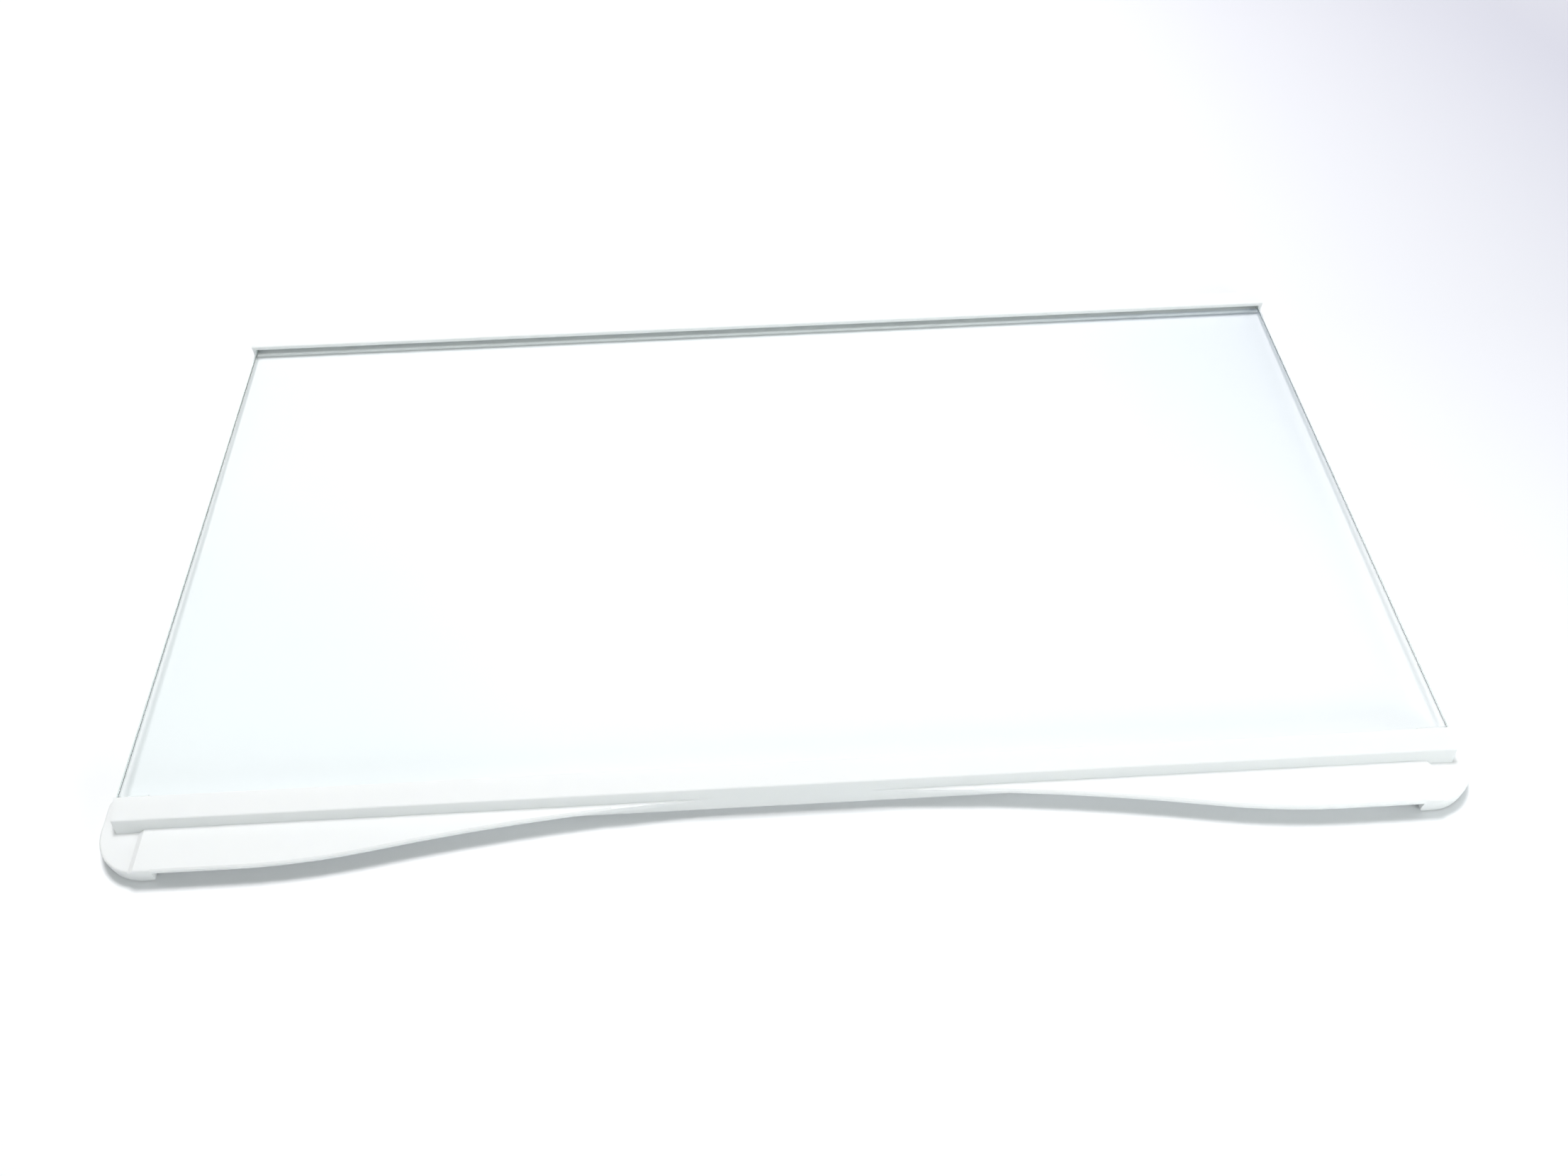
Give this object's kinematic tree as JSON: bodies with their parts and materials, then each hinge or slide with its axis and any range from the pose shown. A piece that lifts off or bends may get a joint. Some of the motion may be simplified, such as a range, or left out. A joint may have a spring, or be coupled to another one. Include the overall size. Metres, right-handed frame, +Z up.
{
  "type": "refrigerator shelf",
  "caption": "Clear glass refrigerator shelf with a white moulded front trim, whose lip curves back as a finger recess between lowered ears, and a slim white rear trim.",
  "frame": {"origin": "middle of the footprint, at the foot of the front trim's skirts", "axes": "+X along the shelf's width, +Y from the front trim to the rear trim, +Z up from the glass"},
  "size_m": [0.4692, 0.2652, 0.0108],
  "materials": {
    "clear_glass": "clear tempered float glass with seamed edges",
    "white_trim": "smooth white injection moulding"
  },
  "bodies": {
    "root": {"glass_panel": "clear_glass", "front_trim": "white_trim", "rear_trim": "white_trim"}
  },
  "joints": []
}
